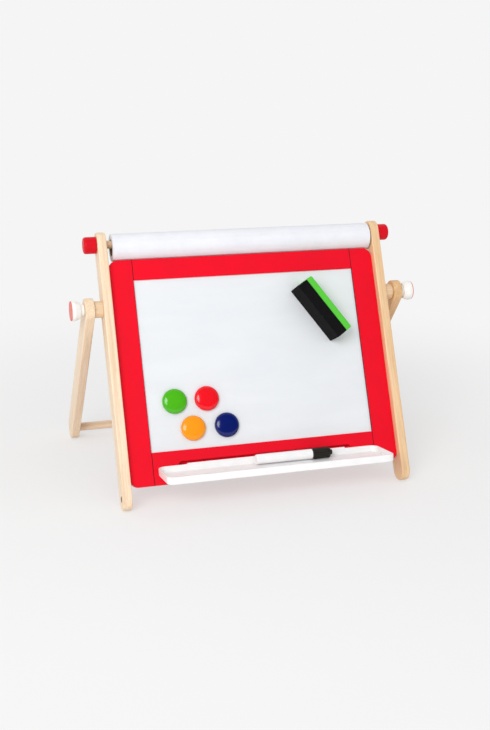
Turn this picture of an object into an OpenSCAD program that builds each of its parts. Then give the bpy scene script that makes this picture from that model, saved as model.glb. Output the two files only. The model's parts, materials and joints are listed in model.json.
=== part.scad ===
// A desk easel with a magnetic whiteboard: a red board frame between two wooden
// legs, a rear stand that folds on two clamp knobs, a paper roll on a wooden rod,
// a plug-in tray, and the magnets, eraser and marker that come with it.
// +X is to the viewer's right, +Y goes back and +Z is up. The origin is on the
// table, at the middle of the whole easel's width and depth.

/* [Board frame] */
// Width of the red frame between the legs
frame_w = 340; // [300:1:420]
// Height of the red frame along its face
frame_h = 273; // [250:1:340]
// Thickness of the frame's bars
frame_t = 9; // [7.5:0.5:14]
// Width of each upright bar
stile_w = 29.5; // [22:0.5:36]
// Height of the upper bar
top_rail_h = 25.5; // [20:0.5:40]
// Height of the lower bar, which carries the tray
bottom_rail_h = 39; // [32:0.5:50]
// Radius of the frame's outer corners
corner_r = 12; // [2:0.5:15]
// How far the writing face lies behind the frame's face
sheet_inset = 2; // [1:0.25:3]
// Thickness of the steel writing sheet
sheet_t = 0.6; // [0.4:0.1:1]
// Thickness of the hardboard behind the sheet
panel_t = 2.4; // [2:0.2:3.4]
// How far the sheet and the hardboard reach into the bars
panel_lap = 4.5; // [3:0.5:8]
// Play of the hardboard in its groove
groove_play = 0.15; // [0.05:0.05:0.3]
// Radius of the glued dowels in the frame's joints
joint_dowel_r = 2.5; // [1.5:0.25:3]
// Length of the glued dowels in the frame's joints
joint_dowel_len = 18; // [12:1:24]
// Distance of a joint's outer dowel from the frame's edge
joint_dowel_edge = 7; // [5:0.5:9]
// Distance of a joint's inner dowel from the window
joint_dowel_window = 9.5; // [8:0.5:12]
// Gap of a glued dowel in its hole, all round
glue_gap = 0.05; // [0.02:0.01:0.1]

/* [Front legs] */
// Lean of the board back from upright, in degrees
lean = 25; // [15:1:32]
// Thickness of a front leg, across the easel
leg_t = 11; // [10:0.5:16]
// Depth of a front leg, front to back
leg_d = 27; // [24:0.5:34]
// How far the legs reach below the frame
leg_below = 25; // [20:1:40]
// How far the legs reach above the frame
leg_above = 36; // [33:1:50]
// Rounding of the legs' long edges
leg_ease = 1.2; // [0.5:0.1:2]
// Distance of the lower leg dowels up the board
leg_dowel_low = 60; // [45:1:80]
// Distance of the upper leg dowels below the fold's pivot
leg_dowel_drop = 35; // [25:1:60]
// Depth of a leg dowel in the frame's bar
leg_dowel_in_frame = 12; // [6:1:16]
// Wood that is left between a leg dowel's end and the leg's outer face
leg_dowel_skin = 3; // [2:0.5:6]
// Radius of the blind hole near each foot
foot_hole_r = 4; // [2:0.25:6]
// Depth of the blind hole near each foot
foot_hole_depth = 7; // [3:0.5:9]

/* [Rear stand] */
// Distance of the fold's pivot up the board from the frame's lower edge
pivot_up = 215.5; // [190:0.5:235]
// Distance from the pivot to the centre of the rear foot's round end
stand_reach = 261; // [245:1:310]
// Thickness of a rear leg, across the easel
stand_t = 11; // [10:0.5:16]
// Depth of a rear leg
stand_d = 28; // [24:0.5:34]
// Length of the wooden spacer between a front and a rear leg
spacer_len = 10.5; // [8:0.5:20]
// Radius of the spacer
spacer_r = 10; // [8:0.5:13]
// Radius of the round bar that joins the rear legs
crossbar_r = 5.5; // [4:0.25:7]
// Depth of the round bar's seat in each rear leg
crossbar_seat = 7; // [4:0.5:9]

/* [Clamp knobs] */
// Radius of the threaded stud
stud_r = 3; // [2.5:0.25:4]
// Running gap of a shaft in its hole, all round
run_fit = 0.06; // [0.03:0.01:0.09]
// Gap between faces that turn or slide past each other
face_gap = 0.25; // [0.2:0.05:0.4]
// Radius of the brass insert in the front leg
insert_r = 4.5; // [4.3:0.1:6]
// Length of the brass insert
insert_len = 8.5; // [6:0.5:9]
// Room behind the stud's tip in the insert
stud_room = 1; // [0.5:0.25:2]
// Length of a knob
knob_len = 15; // [14:0.1:26]
// Radius of a knob at its outer end
knob_r = 12.1; // [12:0.1:16]
// Radius of a knob where its bell begins
knob_bell_r = 9.4; // [8:0.1:9.4]
// Radius of a knob's collar
collar_r = 7.2; // [5.5:0.1:7.5]
// Length of a knob's collar
collar_len = 4.6; // [2:0.2:6]
// Length of a knob's straight band at its outer end
knob_band = 4; // [2:0.5:8]
// Slope of the edges of a knob's collar and of its outer end
knob_edge = 0.3; // [0.1:0.05:0.6]
// Depth of the stud's seat in the knob
stud_seat = 11.5; // [8:0.5:12]
// Radius of the red disc in the knob's end
disc_r = 11.7; // [7:0.1:11.7]
// Thickness of the red disc
disc_t = 2.2; // [1.4:0.1:3]
// How far the red disc stands out of the knob
disc_proud = 1.3; // [0.2:0.1:1.3]

/* [Paper roll] */
// Distance of the rod's axis above the frame's upper edge
rod_up = 21; // [20.5:0.5:28]
// Radius of the wooden rod
rod_r = 4.75; // [4:0.25:6]
// Radius of the red caps on the rod's ends
cap_r = 10.2; // [8:0.1:13]
// Length of a red cap
cap_len = 15.3; // [12:0.1:20]
// Depth of the rod's seat in a red cap
cap_seat = 9.5; // [6:0.5:10]
// Rounding of a red cap's outer edge
cap_round = 3; // [1:0.1:4]
// Radius of the full roll of paper
roll_r = 16.9; // [13:0.1:17]
// Gap between the roll's ends and the legs, with the roll in the middle
roll_end_gap = 4.5; // [4.5:0.5:10]
// How far the roll has slid to the right on its rod
roll_slide = 2.5; // [-4:0.5:4]
// Inner radius of the roll's cardboard core
core_r = 9.1; // [8:0.1:10]
// Wall of the cardboard core
core_wall = 1.2; // [0.8:0.1:2]

/* [Tray] */
// Width of the tray
tray_w = 279; // [240:1:290]
// How far the tray stands out
tray_d = 60.5; // [45:0.5:70]
// Height of the tray
tray_h = 9; // [8:0.1:14]
// Thickness of the tray's walls
tray_wall = 2; // [1.5:0.1:3]
// Thickness of the tray's floor
tray_floor = 2; // [1.2:0.1:2.6]
// Droop of the tray below the board's square-out line, in degrees
tray_droop = 15.5; // [5:0.5:18]
// Radius of the tray's front corners
tray_front_r = 8.7; // [4:0.1:12]
// Radius of the tray's rear corners
tray_rear_r = 10.4; // [4:0.1:12]
// Distance of the tray's rear rim up the board
tray_up = 21.8; // [20:0.1:23]
// How far the tray is pushed to the right in its slot
tray_shift = 3.4; // [-4:0.2:4]
// Length of the slot in the lower bar
slot_len = 218; // [190:1:225]
// Height of the slot
slot_h = 8; // [7:0.25:9]
// Depth of the slot
slot_depth = 7; // [5:0.25:7]
// Distance of the slot's upper edge up the board
slot_up = 25.8; // [24:0.1:27]
// Length of the tongue that holds the tray in the slot
tongue_len = 200; // [150:1:200]
// How far the tongue lies to the left of the tray's middle
tongue_left = 2.4; // [0:0.1:2.4]
// Open height of the slot above the tongue
tongue_room = 2.9; // [0.5:0.1:3]

/* [Magnets] */
// Gap between the sheet and whatever clings to it
cling_gap = 0.2; // [0.1:0.05:0.3]
// Radius of a magnet's plastic cap
magnet_r = 15; // [12:0.5:18]
// Height of a magnet's plastic cap
magnet_h = 7.2; // [6:0.1:10]
// Height of the cap's upright rim
magnet_rim = 2.2; // [1.5:0.1:3]
// Radius of the magnet disc inside a cap
ferrite_r = 9; // [6:0.5:10]
// Thickness of the magnet disc
ferrite_t = 3; // [2:0.1:3.2]

/* [Eraser] */
// Length of the eraser
eraser_len = 80; // [60:1:110]
// How far the eraser stands off the board
eraser_h = 32; // [24:0.5:45]
// Thickness of the eraser's black felt block
felt_t = 14; // [8:0.1:18]
// Thickness of the eraser's green grip
grip_t = 8.2; // [6:0.1:14]
// Slope of the eraser on the board, in degrees
eraser_slope = 56.4; // [40:0.1:70]
// Distance of the eraser's upper left corner from the window's right edge
eraser_from_right = 84; // [70:0.5:150]
// Distance of the eraser's upper left corner below the window's upper edge
eraser_from_top = 24.8; // [18:0.2:60]
// Rounding of the green grip's corners
grip_round = 2.4; // [1:0.1:3.5]
// Length of the magnet strip in the eraser's edge
strip_len = 60; // [30:1:60]
// Width of the magnet strip
strip_w = 7; // [4:0.5:7.5]
// Thickness of the magnet strip
strip_t = 2; // [1:0.1:3]

/* [Marker] */
// Radius of the marker's barrel
barrel_r = 6; // [5:0.1:7]
// Length of the marker's white barrel
barrel_len = 70; // [55:1:90]
// Radius of the marker's cap
pen_cap_r = 6.6; // [6.2:0.1:7.5]
// Length of the marker's cap without its small end
pen_cap_len = 22.5; // [22:0.5:32]
// Distance of the barrel's left end from the tray's middle
marker_left = 20; // [0:1:40]
// Gap between the marker and the tray's rear wall
marker_back = 1.75; // [1.5:0.25:6]
// Count of grip ribs round the marker's cap
pen_ribs = 18; // [8:1:24]
// Height of a grip rib
pen_rib_h = 0.4; // [0.2:0.1:0.6]
// Length of the cap's plain lip at each end of the ribs
pen_lip = 1; // [0.5:0.25:3]
// Radius of the small end of the cap
nub_r = 3.2; // [2:0.1:4]
// Length of the small end of the cap
nub_len = 3; // [2:0.5:5]
// Radius of the barrel's neck in the cap
neck_r = 4.1; // [3.8:0.1:5]
// Length of the barrel's neck
neck_len = 6; // [4:0.5:8]
// Radius of the tip's holder
nib_hold_r = 2.6; // [2.2:0.1:3]
// Length of the tip's holder
nib_hold_len = 6; // [4:0.5:7]
// Gap between the tip's holder and the cap, all round
nib_room = 0.6; // [0.3:0.1:1]
// Radius of the writing tip
nib_r = 1.6; // [1:0.1:2]
// Length of the writing tip
nib_len = 4; // [3:0.5:5]
// Radius of the barrel's bore for the ink wick
pen_bore_r = 3.6; // [3:0.1:4]
// Length of the end plug in the barrel
plug_len = 4; // [3:0.5:8]
// Thickness of the end plug's flange
plug_flange = 1; // [0.5:0.25:2]
// Step between the barrel and the end plug's flange
plug_step = 0.4; // [0.2:0.1:0.8]

/* [Hidden] */
$fn = 64;
// An amount by which a cutter reaches past the face that it cuts
past = 1;

// The easel's stance: the pivot and the rear leg's angle follow from the lean
leg_axis_y = frame_t / 2;
leg_low = leg_d / 2 - leg_below;
leg_high = frame_h + leg_above - leg_d / 2;
frame_z = leg_d / 2 - leg_low * cos(lean) + leg_axis_y * sin(lean);
pivot_z = frame_z + pivot_up * cos(lean) - leg_axis_y * sin(lean);
stand_angle = acos((pivot_z - stand_d / 2) / stand_reach);

// How far the easel reaches to the back and to the front of the frame's lower edge
pivot_back = pivot_up * sin(lean) + leg_axis_y * cos(lean);
reach_back = pivot_back + stand_reach * sin(stand_angle) + stand_d / 2;
tray_tip_out = face_gap + tray_d * cos(tray_droop) - tray_h * sin(tray_droop);
tray_tip_up = tray_up - tray_d * sin(tray_droop) - tray_h * cos(tray_droop);
reach_front = tray_tip_out * cos(lean) - tray_tip_up * sin(lean);
frame_y = (reach_front - reach_back) / 2;
pivot_y = frame_y + pivot_back;

// Places across the easel, from the middle outwards
leg_in = frame_w / 2;
leg_out = leg_in + leg_t;
spacer_out = leg_out + spacer_len;
stand_in = spacer_out + face_gap;
stand_out = stand_in + stand_t;
knob_in = stand_out + face_gap;

// The window in the frame, and the board in its grooves
window_w = frame_w - 2 * stile_w;
window_h = frame_h - top_rail_h - bottom_rail_h;
groove_y = sheet_inset;
groove_t = sheet_t + panel_t + groove_play;
groove_depth = panel_lap + groove_play;
panel_y = sheet_inset + sheet_t;
panel_w = window_w + 2 * panel_lap;
panel_h = window_h + 2 * panel_lap;

// The dowels of the frame: two in each joint of a rail, two in each leg
joint_dowel_in = joint_dowel_len / 2;
top_dowel_up = [frame_h - top_rail_h + joint_dowel_window, frame_h - joint_dowel_edge];
bottom_dowel_up = [joint_dowel_edge, bottom_rail_h - joint_dowel_window];
leg_dowel_up = [leg_dowel_low, pivot_up - leg_dowel_drop];
leg_dowel_len = leg_dowel_in_frame + leg_t - leg_dowel_skin;

// The rod, and the roll that hangs on it
rod_z = frame_h + rod_up;
rod_half = leg_out + cap_seat;
roll_hang = core_r - rod_r - face_gap;
roll_len = frame_w - 2 * roll_end_gap;

// The tray's tongue lies on the slot's lower edge
tongue_x = tray_shift - tongue_left;
tongue_z = slot_up - slot_h + face_gap;
tongue_h = slot_h - face_gap - tongue_room;

// The magnets' places, from the window's lower left corner
magnet_left = -window_w / 2;
magnet_places = [[34.2, 58.6], [74, 58.9], [53.6, 24.7], [95.3, 24.9]];
magnet_face_y = sheet_inset - cling_gap;

// The eraser's upper left corner, from the window's upper right corner
eraser_x = window_w / 2 - eraser_from_right;
eraser_z = frame_h - top_rail_h - eraser_from_top;

// How far the marker's parts reach from the barrel's left end
neck_end = barrel_len + neck_len;
holder_end = neck_end + nib_hold_len;
nib_end = holder_end + nib_len;

// Places whatever is drawn square to the board: X across, Y back, Z up the board
module on_board() {
    translate([0, frame_y, frame_z]) rotate([-lean, 0, 0]) children();
}

// Places whatever is drawn along the rear stand, with the pivot at zero
module on_stand() {
    translate([0, pivot_y, pivot_z]) rotate([stand_angle, 0, 0]) children();
}

// Places whatever is drawn in the tray's own frame, from its rear rim: Y back, Z up
module on_tray() {
    on_board() translate([tray_shift, -face_gap, tray_up]) rotate([tray_droop, 0, 0]) children();
}

// Turns a drawing that rises along Z so that it runs out along X on one side
module outward(side) {
    rotate([0, side * 90, 0]) children();
}

// A rectangle about the middle with rounded corners
module rounded_rect(w, h, r) {
    square([w - 2 * r, h], center = true);
    square([w, h - 2 * r], center = true);
    for (x = [-1, 1], y = [-1, 1])
        translate([x * (w / 2 - r), y * (h / 2 - r)]) circle(r);
}

// Half the outline of a round end with eased edges, for turning
module eased_end(d, t, ease) {
    square([d / 2 - ease, t]);
    translate([0, ease]) square([d / 2, t - 2 * ease]);
    for (y = [ease, t - ease]) translate([d / 2 - ease, y]) circle(ease);
}

// A bar with round ends and eased edges: X is its thickness from zero,
// Z runs between the centres of its round ends
module round_bar(span, d, t, ease) {
    translate([t / 2, 0, 0]) linear_extrude(span) rounded_rect(t, d, ease);
    for (end = [0, 1])
        translate([0, 0, end * span]) rotate([0, 90, 0])
            rotate([0, 0, end * 180 - 90]) rotate_extrude(angle = 180) intersection() {
                eased_end(d, t, ease);
                square([d, t]);
            }
}

// The legs that carry the board

module front_leg(side) {
    color("navajowhite") on_board() difference() {
        translate([side > 0 ? leg_in : -leg_out, leg_axis_y, leg_low])
            round_bar(leg_high - leg_low, leg_d, leg_t, leg_ease);
        translate([side * (leg_in - past), leg_axis_y, rod_z])
            outward(side) cylinder(r = rod_r + run_fit, h = leg_t + 2 * past);
        translate([side * (leg_out - insert_len - glue_gap), leg_axis_y, pivot_up])
            outward(side) cylinder(r = insert_r + glue_gap, h = insert_len + past);
        translate([side * (leg_out - foot_hole_depth), leg_axis_y, leg_low])
            outward(side) cylinder(r = foot_hole_r, h = foot_hole_depth + past);
        leg_dowel_set(side, glue_gap);
    }
}

module left_front_leg() {
    front_leg(-1);
}

module right_front_leg() {
    front_leg(1);
}

// The dowels that hold one leg to the frame, grown by the gap of their holes
module leg_dowel_set(side, gap) {
    for (up = leg_dowel_up)
        translate([side * (leg_in - leg_dowel_in_frame - gap), leg_axis_y, up])
            outward(side) cylinder(r = joint_dowel_r + gap, h = leg_dowel_len + 2 * gap);
}

module leg_dowels() {
    color("burlywood") on_board() {
        leg_dowel_set(-1, 0);
        leg_dowel_set(1, 0);
    }
}

// The brass insert that takes the knob's stud
module insert_nut(side) {
    color("goldenrod") on_board()
        translate([side * (leg_out - insert_len), leg_axis_y, pivot_up]) outward(side) difference() {
            cylinder(r = insert_r, h = insert_len);
            translate([0, 0, -past]) cylinder(r = stud_r + run_fit, h = insert_len + 2 * past);
        }
}

module left_insert_nut() {
    insert_nut(-1);
}

module right_insert_nut() {
    insert_nut(1);
}

// The round wooden spacer that keeps the rear leg clear of the front leg
module spacer(side) {
    color("navajowhite") on_board()
        translate([side * leg_out, leg_axis_y, pivot_up]) outward(side) difference() {
            cylinder(r = spacer_r, h = spacer_len);
            translate([0, 0, -past]) cylinder(r = stud_r + run_fit, h = spacer_len + 2 * past);
        }
}

module left_spacer() {
    spacer(-1);
}

module right_spacer() {
    spacer(1);
}

// The board's frame

// The outline of the whole frame, which gives the bars their rounded corners
module frame_outline() {
    translate([0, frame_t, frame_h / 2]) rotate([90, 0, 0])
        linear_extrude(frame_t) rounded_rect(frame_w, frame_h, corner_r);
}

// The space that the sheet and the hardboard fill in the bars' grooves
module board_groove() {
    translate([-window_w / 2 - groove_depth, groove_y, bottom_rail_h - groove_depth])
        cube([window_w + 2 * groove_depth, groove_t, window_h + 2 * groove_depth]);
}

// The dowels of the rails' joints, grown by the gap of their holes
module rail_dowel_set(side, gap) {
    for (up = concat(top_dowel_up, bottom_dowel_up))
        translate([side * (window_w / 2 - joint_dowel_in - gap), leg_axis_y, up])
            outward(side) cylinder(r = joint_dowel_r + gap, h = joint_dowel_len + 2 * gap);
}

module frame_dowels() {
    color("burlywood") on_board() {
        rail_dowel_set(-1, 0);
        rail_dowel_set(1, 0);
    }
}

module stile(side) {
    color("crimson") on_board() difference() {
        intersection() {
            frame_outline();
            translate([side > 0 ? window_w / 2 : -frame_w / 2, 0, 0])
                cube([stile_w, frame_t, frame_h]);
        }
        board_groove();
        rail_dowel_set(side, glue_gap);
        leg_dowel_set(side, glue_gap);
    }
}

module left_stile() {
    stile(-1);
}

module right_stile() {
    stile(1);
}

module top_rail() {
    color("crimson") on_board() difference() {
        translate([-window_w / 2, 0, frame_h - top_rail_h])
            cube([window_w, frame_t, top_rail_h]);
        board_groove();
        rail_dowel_set(-1, glue_gap);
        rail_dowel_set(1, glue_gap);
    }
}

module bottom_rail() {
    color("crimson") on_board() difference() {
        translate([-window_w / 2, 0, 0]) cube([window_w, frame_t, bottom_rail_h]);
        board_groove();
        rail_dowel_set(-1, glue_gap);
        rail_dowel_set(1, glue_gap);
        translate([0, slot_depth, slot_up - slot_h / 2]) rotate([90, 0, 0])
            linear_extrude(slot_depth + past) tray_slot();
    }
}

// The outline of the slot for the tray, with round ends
module tray_slot() {
    square([slot_len - slot_h, slot_h], center = true);
    for (x = [-1, 1]) translate([x * (slot_len - slot_h) / 2, 0]) circle(d = slot_h);
}

module whiteboard_sheet() {
    color("white") on_board()
        translate([-panel_w / 2, sheet_inset, bottom_rail_h - panel_lap])
            cube([panel_w, sheet_t, panel_h]);
}

module backing_panel() {
    color("darkslategray") on_board()
        translate([-panel_w / 2, panel_y, bottom_rail_h - panel_lap])
            cube([panel_w, panel_t, panel_h]);
}

// The rear stand

module rear_leg(side) {
    color("wheat") on_stand() difference() {
        translate([side > 0 ? stand_in : -stand_out, 0, -stand_reach])
            round_bar(stand_reach, stand_d, stand_t, leg_ease);
        translate([side * (stand_in - past), 0, 0])
            outward(side) cylinder(r = stud_r + run_fit, h = stand_t + 2 * past);
        translate([side * (stand_in - past), 0, -stand_reach])
            outward(side) cylinder(r = crossbar_r + glue_gap, h = crossbar_seat + past + glue_gap);
    }
}

module left_rear_leg() {
    rear_leg(-1);
}

module right_rear_leg() {
    rear_leg(1);
}

module rear_crossbar() {
    color("burlywood") on_stand()
        translate([-stand_in - crossbar_seat, 0, -stand_reach])
            outward(1) cylinder(r = crossbar_r, h = 2 * (stand_in + crossbar_seat));
}

// The clamp knobs

// The outline of a knob for turning: a collar, then a bell that opens outwards
module knob_outline() {
    difference() {
        polygon([[0, 0], [collar_r - knob_edge, 0], [collar_r, knob_edge], [collar_r, collar_len],
            [knob_bell_r, collar_len], [knob_r, knob_len - knob_band], [knob_r, knob_len - knob_edge],
            [knob_r - knob_edge, knob_len], [0, knob_len]]);
        translate([-past, knob_len - disc_t + disc_proud]) square([disc_r + glue_gap + past, disc_t]);
        translate([-past, -past]) square([stud_r + glue_gap + past, stud_seat + past]);
    }
}

module knob(side) {
    color("whitesmoke") on_board()
        translate([side * knob_in, leg_axis_y, pivot_up]) outward(side)
            rotate_extrude() knob_outline();
}

module left_knob() {
    knob(-1);
}

module right_knob() {
    knob(1);
}

module knob_disc(side) {
    color("tomato") on_board()
        translate([side * (knob_in + knob_len - disc_t + disc_proud), leg_axis_y, pivot_up])
            outward(side) cylinder(r = disc_r, h = disc_t);
}

module left_knob_disc() {
    knob_disc(-1);
}

module right_knob_disc() {
    knob_disc(1);
}

// The steel stud from the knob through the rear leg and the spacer into the insert
module stud(side) {
    color("silver") on_board()
        translate([side * (leg_out - insert_len + stud_room), leg_axis_y, pivot_up]) outward(side)
            cylinder(r = stud_r, h = knob_in + stud_seat - leg_out + insert_len - stud_room);
}

module left_stud() {
    stud(-1);
}

module right_stud() {
    stud(1);
}

// The paper roll on its rod

module rod() {
    color("burlywood") on_board() translate([-rod_half, leg_axis_y, rod_z])
        outward(1) cylinder(r = rod_r, h = 2 * rod_half);
}

// The outline of a red cap for turning, with its outer edge rounded
module rod_cap_outline() {
    difference() {
        union() {
            square([cap_r, cap_len - cap_round]);
            square([cap_r - cap_round, cap_len]);
            translate([cap_r - cap_round, cap_len - cap_round]) circle(cap_round);
        }
        translate([-past, -past]) square([rod_r + run_fit + past, cap_seat + past]);
    }
}

module rod_cap(side) {
    color("firebrick") on_board()
        translate([side * (leg_out + face_gap), leg_axis_y, rod_z]) outward(side)
            rotate_extrude() rod_cap_outline();
}

module left_rod_cap() {
    rod_cap(-1);
}

module right_rod_cap() {
    rod_cap(1);
}

// Places what is drawn about the roll's own axis, which hangs straight below the rod's
module on_roll() {
    translate([0, 0, -roll_hang]) on_board()
        translate([roll_slide - roll_len / 2, leg_axis_y, rod_z]) outward(1) children();
}

module ring(outer, inner, h) {
    difference() {
        cylinder(r = outer, h = h, $fn = 96);
        translate([0, 0, -past]) cylinder(r = inner, h = h + 2 * past, $fn = 96);
    }
}

module roll_core() {
    color("saddlebrown") on_roll() ring(core_r + core_wall, core_r, roll_len);
}

module paper_roll() {
    color("ghostwhite") on_roll() ring(roll_r, core_r + core_wall, roll_len);
}

// The tray

// A flat shape with its straight edge at y = 0 or beyond, and two round corners at y = -d
module round_front(w, d, r) {
    translate([-w / 2, r - d]) square([w, d - r]);
    translate([r - w / 2, -d]) square([w - 2 * r, d]);
    for (x = [-1, 1]) translate([x * (w / 2 - r), r - d]) circle(r);
}

// What lies in front of the board, less a wall: it runs up the board, with round rear corners
module before_board(wall) {
    rotate([-tray_droop, 0, 0]) translate([0, -wall - 2 * tray_d, -tray_d])
        linear_extrude(2 * tray_d) rotate([0, 0, 180])
            round_front(tray_w - 2 * wall, 2 * tray_d, tray_rear_r - wall);
}

// The tray's outer form, or what it holds where a wall and a floor are given
module tray_form(wall, floor) {
    intersection() {
        translate([0, tray_h, floor - tray_h]) linear_extrude(tray_h)
            round_front(tray_w - 2 * wall, tray_d + tray_h - wall, tray_front_r - wall);
        before_board(wall);
    }
}

module tray() {
    color("white") union() {
        on_tray() difference() {
            tray_form(0, 0);
            tray_form(tray_wall, tray_floor);
        }
        on_board() translate([tongue_x - tongue_len / 2, -face_gap - tray_wall / 2, tongue_z])
            cube([tongue_len, tray_wall / 2 + slot_depth, tongue_h]);
    }
}

// The magnets

module at_magnet(place) {
    on_board() translate([magnet_left + place[0], magnet_face_y, bottom_rail_h + place[1]])
        rotate([90, 0, 0]) children();
}

// A low dome over an upright rim, with a seat for the magnet disc
module magnet_cap(place, tint) {
    dome_h = magnet_h - magnet_rim;
    dome_r = (magnet_r * magnet_r + dome_h * dome_h) / (2 * dome_h);
    color(tint) at_magnet(place) difference() {
        intersection() {
            cylinder(r = magnet_r, h = magnet_h);
            translate([0, 0, magnet_h - dome_r]) sphere(r = dome_r, $fn = 96);
        }
        translate([0, 0, -past]) cylinder(r = ferrite_r + glue_gap, h = ferrite_t + glue_gap + past);
    }
}

module magnet_disc(place) {
    color("dimgray") at_magnet(place) cylinder(r = ferrite_r, h = ferrite_t);
}

module green_magnet_cap() {
    magnet_cap(magnet_places[0], "limegreen");
}

module red_magnet_cap() {
    magnet_cap(magnet_places[1], "red");
}

module orange_magnet_cap() {
    magnet_cap(magnet_places[2], "orange");
}

module blue_magnet_cap() {
    magnet_cap(magnet_places[3], "navy");
}

module green_magnet_disc() {
    magnet_disc(magnet_places[0]);
}

module red_magnet_disc() {
    magnet_disc(magnet_places[1]);
}

module orange_magnet_disc() {
    magnet_disc(magnet_places[2]);
}

module blue_magnet_disc() {
    magnet_disc(magnet_places[3]);
}

// The eraser

// X runs along the eraser, Y is its thickness from the felt's face, Z stands off the board
module at_eraser() {
    on_board() translate([eraser_x, magnet_face_y, eraser_z]) rotate([90, 0, 0])
        rotate([0, 0, -eraser_slope]) children();
}

module eraser_strip(gap) {
    translate([(eraser_len - strip_len) / 2 - gap, (felt_t - strip_w) / 2 - gap, 0])
        cube([strip_len + 2 * gap, strip_w + 2 * gap, strip_t + gap]);
}

module eraser_felt() {
    color("black") at_eraser() difference() {
        cube([eraser_len, felt_t, eraser_h]);
        translate([0, 0, -glue_gap]) eraser_strip(glue_gap);
    }
}

module eraser_grip() {
    color("limegreen") at_eraser()
        translate([eraser_len / 2, felt_t, eraser_h / 2]) rotate([-90, 0, 0])
            linear_extrude(grip_t) rounded_rect(eraser_len, eraser_h, grip_round);
}

module eraser_magnet() {
    color("dimgray") at_eraser() eraser_strip(0);
}

// The marker

// X runs along the marker from the barrel's left end, on the marker's own axis
module at_marker() {
    rear_wall = tray_wall + tray_h * tan(tray_droop);
    on_tray() translate([-marker_left, -rear_wall - marker_back - pen_cap_r,
        tray_floor - tray_h + face_gap + pen_cap_r]) outward(1) children();
}

module marker_barrel() {
    color("white") at_marker() difference() {
        union() {
            cylinder(r = barrel_r, h = barrel_len);
            cylinder(r = neck_r, h = neck_end);
            cylinder(r = nib_hold_r, h = holder_end);
        }
        translate([0, 0, -past]) cylinder(r = pen_bore_r, h = barrel_len + past);
        cylinder(r = nib_r + glue_gap, h = holder_end + past);
    }
}

// The plug that closes the barrel's left end
module marker_plug() {
    color("white") at_marker() union() {
        translate([0, 0, -plug_flange]) cylinder(r = barrel_r - plug_step, h = plug_flange);
        cylinder(r = pen_bore_r - glue_gap, h = plug_len);
    }
}

// The ink wick with the writing tip at its end
module marker_nib() {
    color("black") at_marker() union() {
        translate([0, 0, plug_len])
            cylinder(r = pen_bore_r - glue_gap, h = barrel_len - plug_len - glue_gap);
        translate([0, 0, plug_len]) cylinder(r = nib_r, h = nib_end - nib_r - plug_len);
        translate([0, 0, nib_end - nib_r]) sphere(r = nib_r);
    }
}

// The cap over the neck, with grip ribs and a small end
module marker_cap() {
    start = barrel_len + face_gap;
    rib_at = pen_cap_r - pen_rib_h;
    color("dimgray") at_marker() difference() {
        union() {
            translate([0, 0, start]) cylinder(r = rib_at, h = pen_cap_len);
            for (turn = [0 : pen_ribs - 1]) rotate([0, 0, turn * 360 / pen_ribs])
                translate([rib_at, 0, start + pen_lip])
                    cylinder(r = pen_rib_h, h = pen_cap_len - 2 * pen_lip, $fn = 16);
            translate([0, 0, start]) cylinder(r = nub_r, h = pen_cap_len + nub_len);
        }
        translate([0, 0, start - past])
            cylinder(r = neck_r + run_fit, h = neck_end + face_gap - start + past + nib_room);
        translate([0, 0, start - past])
            cylinder(r = nib_hold_r + nib_room, h = nib_end + face_gap + nib_room - start + past);
    }
}

left_front_leg();
right_front_leg();
left_stile();
right_stile();
top_rail();
bottom_rail();
whiteboard_sheet();
backing_panel();
frame_dowels();
leg_dowels();
left_insert_nut();
right_insert_nut();
left_spacer();
right_spacer();
left_rear_leg();
right_rear_leg();
rear_crossbar();
left_knob();
right_knob();
left_knob_disc();
right_knob_disc();
left_stud();
right_stud();
rod();
left_rod_cap();
right_rod_cap();
roll_core();
paper_roll();
tray();
green_magnet_cap();
red_magnet_cap();
orange_magnet_cap();
blue_magnet_cap();
green_magnet_disc();
red_magnet_disc();
orange_magnet_disc();
blue_magnet_disc();
eraser_felt();
eraser_grip();
eraser_magnet();
marker_barrel();
marker_plug();
marker_nib();
marker_cap();
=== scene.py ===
"""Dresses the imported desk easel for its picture: the painted frame, the wooden legs,
the clamp knobs, the paper roll, the tray, the magnets, the eraser and the marker."""
import json
import math
import random

import bmesh
import bpy
from mathutils import Matrix, Vector, noise as wave


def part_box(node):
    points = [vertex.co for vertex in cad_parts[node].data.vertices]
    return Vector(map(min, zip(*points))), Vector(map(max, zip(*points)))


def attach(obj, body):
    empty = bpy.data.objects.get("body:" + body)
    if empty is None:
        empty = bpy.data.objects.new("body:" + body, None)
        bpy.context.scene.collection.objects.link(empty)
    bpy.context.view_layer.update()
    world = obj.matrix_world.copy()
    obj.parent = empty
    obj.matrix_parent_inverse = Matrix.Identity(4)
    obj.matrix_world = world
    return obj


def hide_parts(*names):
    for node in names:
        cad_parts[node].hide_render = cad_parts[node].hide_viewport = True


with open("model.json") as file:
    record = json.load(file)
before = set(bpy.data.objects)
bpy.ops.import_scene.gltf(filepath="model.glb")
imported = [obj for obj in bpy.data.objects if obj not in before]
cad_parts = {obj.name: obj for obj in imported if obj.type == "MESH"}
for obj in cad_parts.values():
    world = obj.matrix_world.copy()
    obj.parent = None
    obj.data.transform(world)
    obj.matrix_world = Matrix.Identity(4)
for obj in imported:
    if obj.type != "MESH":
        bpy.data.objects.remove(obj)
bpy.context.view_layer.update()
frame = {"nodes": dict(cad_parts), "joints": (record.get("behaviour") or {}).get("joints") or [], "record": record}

# Units

MM = 0.001
NEAR = 1e-6
FULL_TURN = 2 * math.pi
ARC_STEP = math.radians(6)
TURNED_STEPS = 96

# Gaps that the pieces share

GLUE_GAP = 0.05 * MM
RUN_FIT = 0.06 * MM
FACE_GAP = 0.25 * MM

# The frame and the legs

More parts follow.
